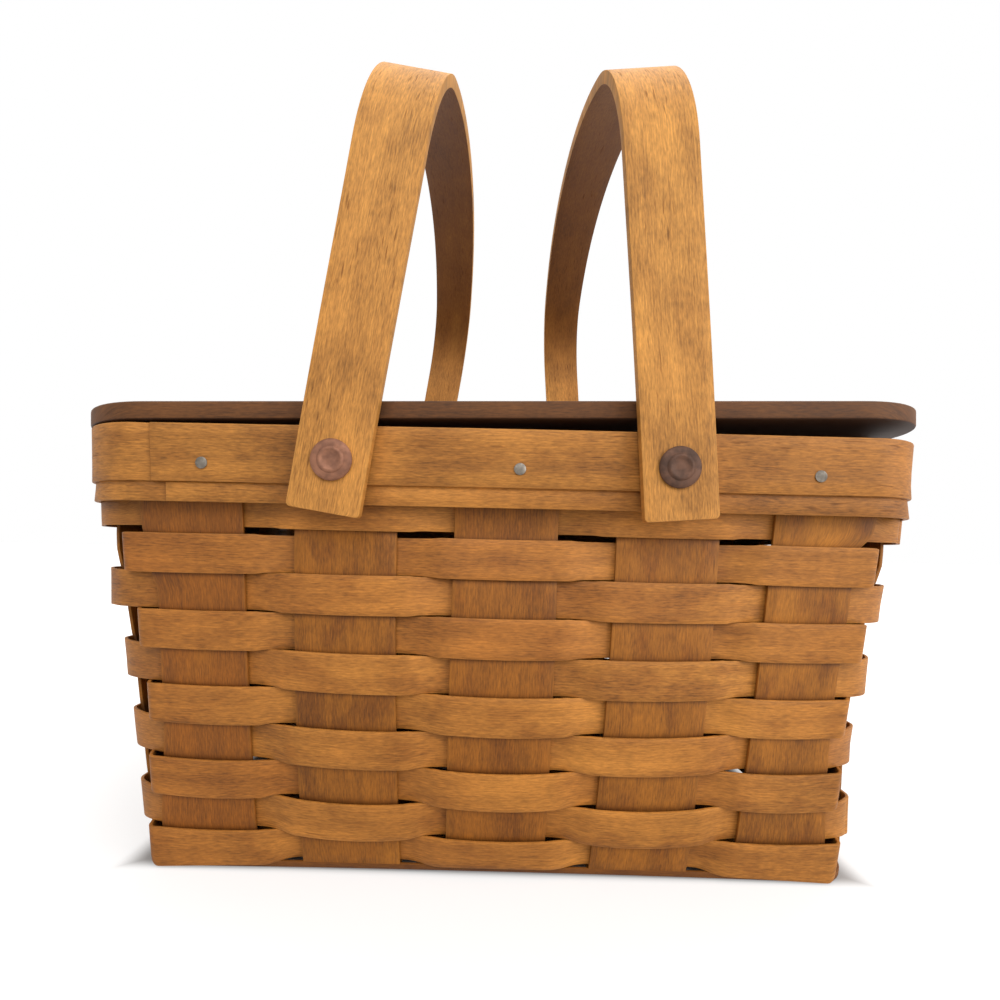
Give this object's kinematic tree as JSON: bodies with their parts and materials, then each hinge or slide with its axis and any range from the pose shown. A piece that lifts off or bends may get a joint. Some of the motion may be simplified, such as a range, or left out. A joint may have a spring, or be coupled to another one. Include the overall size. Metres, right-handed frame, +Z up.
{
  "type": "woven splint picnic basket",
  "caption": "Rectangular picnic basket woven from stained wood splints, with a banded rim, a loose wooden lid board and two swing handles on copper rivets.",
  "frame": {"origin": "middle of the base on the ground, under the middle of the whole basket", "axes": "+X right along the long wall, +Y to the back, +Z up; the handles swing about lines along Y"},
  "size_m": [0.3571, 0.2976, 0.3664],
  "materials": {
    "splint_wood": "honey stained ash splint, vertical grain, satin",
    "weaver_wood": "honey stained ash splint, lengthwise grain, satin",
    "band_wood": "honey stained bent wood band, satin",
    "handle_wood": "light golden bent wood strap, eased edges, satin",
    "lid_wood": "dark brown stained board, soft edges, satin",
    "rivet_copper": "dull brownish copper",
    "nail_steel": "dull grey steel"
  },
  "bodies": {
    "basket": {"splint_front_back_1": "splint_wood", "splint_front_back_2": "splint_wood", "splint_front_back_3": "splint_wood", "splint_front_back_4": "splint_wood", "splint_front_back_5": "splint_wood", "splint_side_1": "splint_wood", "splint_side_2": "splint_wood", "splint_side_3": "splint_wood", "splint_side_4": "splint_wood", "weaver_row_01": "weaver_wood", "weaver_row_02": "weaver_wood", "weaver_row_03": "weaver_wood", "weaver_row_04": "weaver_wood", "weaver_row_05": "weaver_wood", "weaver_row_06": "weaver_wood", "weaver_row_07": "weaver_wood", "weaver_row_08": "weaver_wood", "weaver_row_09": "weaver_wood", "weaver_row_10": "weaver_wood", "weaver_under_rim": "weaver_wood", "rim_band_inner": "band_wood", "rim_band_under": "band_wood", "rim_band_outer": "band_wood", "rim_nail_01": "nail_steel", "rim_nail_02": "nail_steel", "rim_nail_03": "nail_steel", "rim_nail_04": "nail_steel", "rim_nail_05": "nail_steel", "rim_nail_06": "nail_steel", "rim_nail_07": "nail_steel", "rim_nail_08": "nail_steel", "rim_nail_09": "nail_steel", "rim_nail_10": "nail_steel", "rivet_left_front": "rivet_copper", "rivet_right_front": "rivet_copper", "rivet_left_back": "rivet_copper", "rivet_right_back": "rivet_copper", "rivet_burr_left_front": "rivet_copper", "rivet_burr_right_front": "rivet_copper", "rivet_burr_left_back": "rivet_copper", "rivet_burr_right_back": "rivet_copper"},
    "handle_left": {"handle_left": "handle_wood"},
    "handle_right": {"handle_right": "handle_wood"},
    "lid": {"lid_board": "lid_wood", "lid_cleat_left": "lid_wood", "lid_cleat_right": "lid_wood", "cleat_nail_left_front": "nail_steel", "cleat_nail_left_back": "nail_steel", "cleat_nail_right_front": "nail_steel", "cleat_nail_right_back": "nail_steel"}
  },
  "joints": [
    {"name": "handle_left_swing", "type": "hinge", "parent": "basket", "child": "handle_left", "pos_m": [-0.064, 0, 0.169], "axis": [0, 1, 0], "range_deg": [-148, 5.4]},
    {"name": "handle_right_swing", "type": "hinge", "parent": "basket", "child": "handle_right", "pos_m": [0.064, 0, 0.169], "axis": [0, 1, 0], "range_deg": [-9.9, 143]},
    {"name": "lid_lift", "type": "slide", "parent": "basket", "child": "lid", "axis": [0, 0, 1], "range_m": [0, 0.08]}
  ]
}
